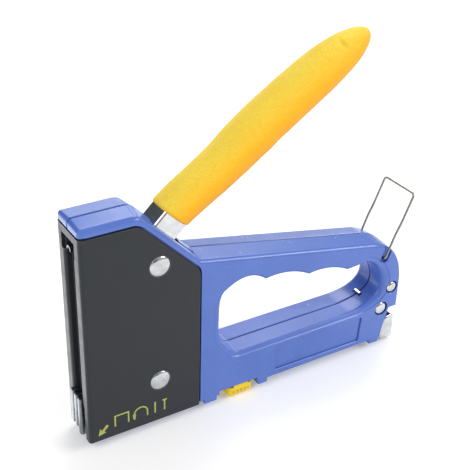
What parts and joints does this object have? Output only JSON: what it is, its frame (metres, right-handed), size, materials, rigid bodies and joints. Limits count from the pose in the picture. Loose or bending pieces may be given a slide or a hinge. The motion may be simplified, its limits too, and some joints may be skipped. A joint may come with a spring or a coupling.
{
  "type": "staple gun",
  "caption": "Hand staple gun: two-shell plastic body, folded steel nose cover, foam-sleeved squeeze lever, finger opening, pull-out magazine rail and wire bail.",
  "frame": {"origin": "middle of the nose guide's foot, on the working face that is pressed to the workpiece", "axes": "+X from the nose towards the magazine's rear end, +Y to the tool's right-hand side, +Z from the working face up to the lever"},
  "size_m": [0.1815, 0.0248, 0.177],
  "materials": {
    "blue_plastic": "fine satin moulding texture",
    "black_steel": "satin black paint",
    "guide_steel": "bright zinc plate",
    "rivet_chrome": "polished plating",
    "lever_chrome": "bright plated sheet steel",
    "yellow_foam": "fine closed-cell foam",
    "spring_steel": "plain steel wire and sheet",
    "bumper_rubber": "matt rubber",
    "magazine_steel": "zinc plate",
    "yellow_plastic": "satin moulding"
  },
  "bodies": {
    "body": {"body_shell_left": "blue_plastic", "body_shell_right": "blue_plastic", "nose_cover": "black_steel", "nose_guide": "guide_steel", "lever_pivot_rivet": "rivet_chrome", "front_rivet": "rivet_chrome", "rear_upper_rivet": "rivet_chrome", "rear_lower_rivet": "rivet_chrome", "lever_return_spring": "spring_steel", "power_spring": "spring_steel", "spring_seat": "spring_steel", "striker_bumper": "bumper_rubber", "magazine_channel": "magazine_steel", "staple_strip": "magazine_steel", "magazine_catch": "rivet_chrome"},
    "lever": {"lever_channel": "lever_chrome", "foam_grip": "yellow_foam", "lift_pin": "spring_steel"},
    "striker_set": {"striker": "spring_steel", "driver_blade": "guide_steel"},
    "magazine_rail": {"pusher_rail": "magazine_steel", "pusher_spring": "spring_steel", "latch_pin": "spring_steel"},
    "latch": {"rear_latch": "rivet_chrome"},
    "pusher": {"staple_pusher": "spring_steel"},
    "bail": {"wire_bail": "spring_steel"},
    "release": {"release_slide": "yellow_plastic"}
  },
  "joints": [
    {"name": "lever_hinge", "type": "hinge", "parent": "body", "child": "lever", "pos_m": [0.03325, 0, 0.085], "axis": [0, 1, 0], "range_deg": [0, 39], "stiffness_Nm_per_rad": 1, "springref_deg": -20.05},
    {"name": "striker_slide", "type": "slide", "parent": "body", "child": "striker_set", "axis": [0, 0, 1], "range_m": [0, 0.0115], "deforming": ["power_spring"]},
    {"name": "rail_slide", "type": "slide", "parent": "body", "child": "magazine_rail", "axis": [1, 0, 0], "range_m": [0, 0.11]},
    {"name": "latch_hinge", "type": "hinge", "parent": "magazine_rail", "child": "latch", "pos_m": [0.17085, 0, 0.0064], "axis": [0, 1, 0], "range_deg": [0, 8], "stiffness_Nm_per_rad": 0.05, "springref_deg": -11.46},
    {"name": "pusher_slide", "type": "slide", "parent": "magazine_rail", "child": "pusher", "axis": [1, 0, 0], "range_m": [0, 0.08], "stiffness_N_per_m": 15, "springref_m": -0.1},
    {"name": "bail_hinge", "type": "hinge", "parent": "body", "child": "bail", "pos_m": [0.16225, 0, 0.051], "axis": [0, 1, 0], "range_deg": [-7, 6]},
    {"name": "release_slide_x", "type": "slide", "parent": "body", "child": "release", "axis": [1, 0, 0], "range_m": [-0.0025, 0.0015]}
  ],
  "couplings": [
    {"joint": "striker_slide", "follows": "lever_hinge", "m_per_rad": 0.01669}
  ]
}
